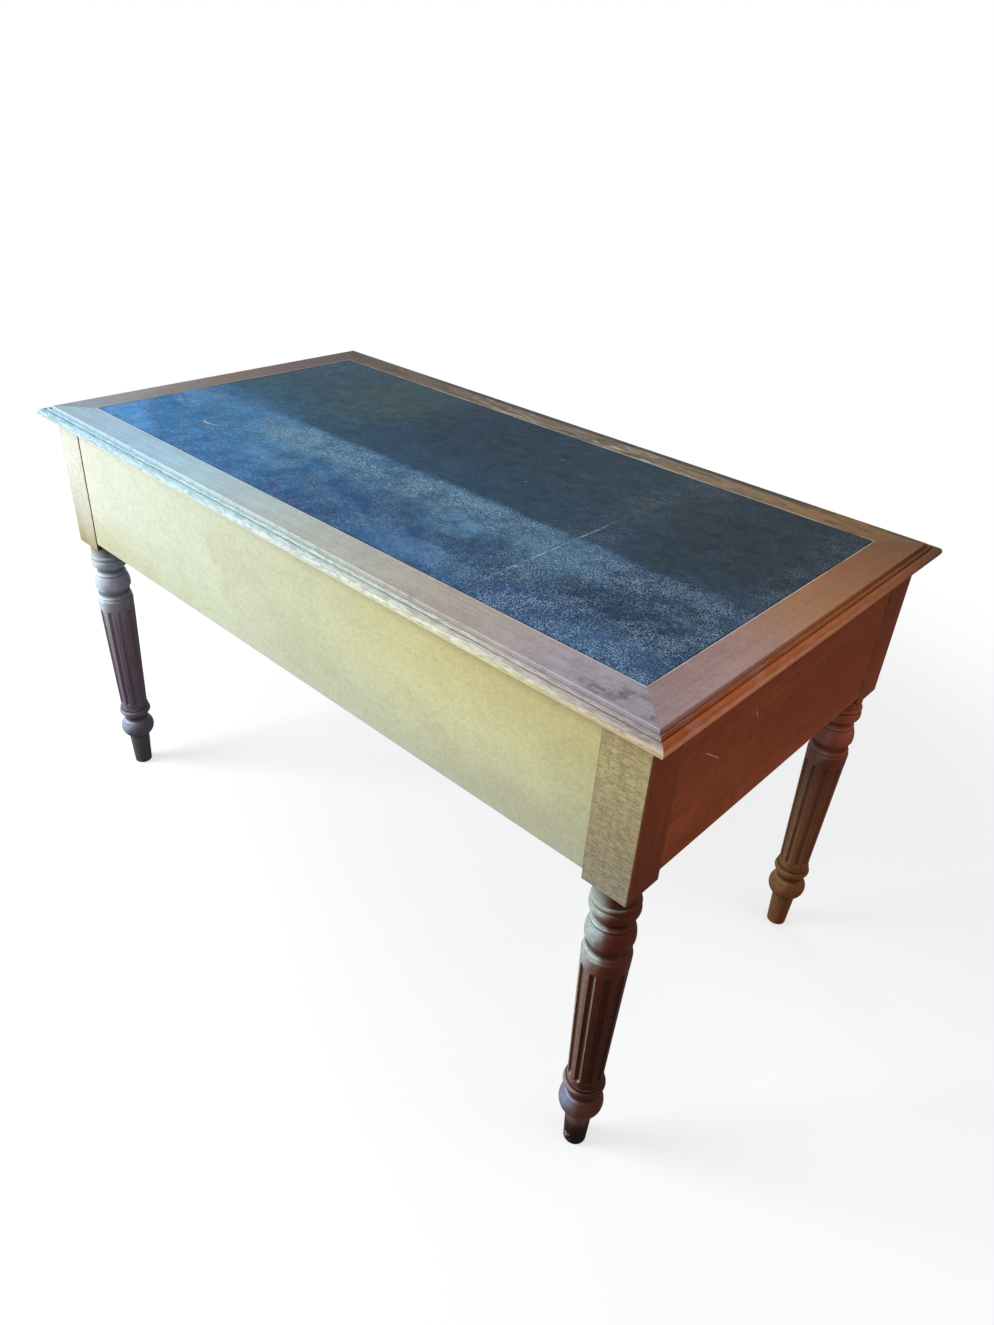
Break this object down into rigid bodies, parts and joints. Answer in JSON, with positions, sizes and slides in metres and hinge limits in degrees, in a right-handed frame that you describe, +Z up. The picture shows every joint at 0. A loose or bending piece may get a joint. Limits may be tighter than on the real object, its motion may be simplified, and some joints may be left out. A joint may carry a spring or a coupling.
{
  "type": "writing desk",
  "caption": "Flat-topped oak writing desk with a leather-covered top in a moulded frame, plain panelled sides, turned and fluted legs and drawers under the front.",
  "frame": {"origin": "on the floor, under the middle of the desk's overall box", "axes": "+X along the desk to the sitter's right, +Y from the sitter's drawer side to the closed back, +Z up"},
  "size_m": [1.3, 0.7, 0.76],
  "materials": {
    "leg_oak": "dark polished oak",
    "front_oak": "red-brown polished oak",
    "back_oak": "pale worn oak",
    "frame_oak": "polished oak",
    "inner_oak": "unfinished oak",
    "leather": "worn dark blue leather",
    "brass": "dulled",
    "steel": "plain"
  },
  "bodies": {
    "carcass": {"leg_front_left": "leg_oak", "leg_front_right": "leg_oak", "leg_back_left": "leg_oak", "leg_back_right": "leg_oak", "back_panel": "back_oak", "end_panel_left": "front_oak", "end_panel_right": "front_oak", "front_top_rail": "front_oak", "lower_rail_left": "front_oak", "lower_rail_centre": "front_oak", "lower_rail_right": "front_oak", "divider_left": "front_oak", "divider_right": "front_oak", "partition_left": "inner_oak", "partition_right": "inner_oak", "runner_left_outer": "inner_oak", "runner_left_inner": "inner_oak", "runner_right_inner": "inner_oak", "runner_right_outer": "inner_oak", "runner_centre_left": "inner_oak", "runner_centre_right": "inner_oak", "guide_left": "inner_oak", "guide_right": "inner_oak", "kicker_left_outer": "inner_oak", "kicker_left_inner": "inner_oak", "kicker_right_inner": "inner_oak", "kicker_right_outer": "inner_oak", "kicker_centre_left": "inner_oak", "kicker_centre_right": "inner_oak", "drawer_stops": "inner_oak", "glue_blocks": "inner_oak", "top_screws": "steel", "top_rail_front": "frame_oak", "top_rail_back": "frame_oak", "top_rail_left": "frame_oak", "top_rail_right": "frame_oak", "ground_panel": "inner_oak", "leather_end": "leather", "leather_main": "leather"},
    "drawer_left": {"drawer_left_front": "front_oak", "drawer_left_side_outer": "inner_oak", "drawer_left_side_inner": "inner_oak", "drawer_left_back": "inner_oak", "drawer_left_bottom": "inner_oak", "drawer_left_knob": "brass", "drawer_left_screw": "steel"},
    "drawer_centre": {"drawer_centre_front": "front_oak", "drawer_centre_side_left": "inner_oak", "drawer_centre_side_right": "inner_oak", "drawer_centre_back": "inner_oak", "drawer_centre_bottom": "inner_oak", "drawer_centre_knobs": "brass", "drawer_centre_screws": "steel"},
    "drawer_right": {"drawer_right_front": "front_oak", "drawer_right_side_inner": "inner_oak", "drawer_right_side_outer": "inner_oak", "drawer_right_back": "inner_oak", "drawer_right_bottom": "inner_oak", "drawer_right_knob": "brass", "drawer_right_screw": "steel"}
  },
  "joints": [
    {"name": "drawer_left_slide", "type": "slide", "parent": "carcass", "child": "drawer_left", "axis": [0, -1, 0], "range_m": [0, 0.42]},
    {"name": "drawer_centre_slide", "type": "slide", "parent": "carcass", "child": "drawer_centre", "axis": [0, -1, 0], "range_m": [0, 0.42]},
    {"name": "drawer_right_slide", "type": "slide", "parent": "carcass", "child": "drawer_right", "axis": [0, -1, 0], "range_m": [0, 0.42]}
  ]
}
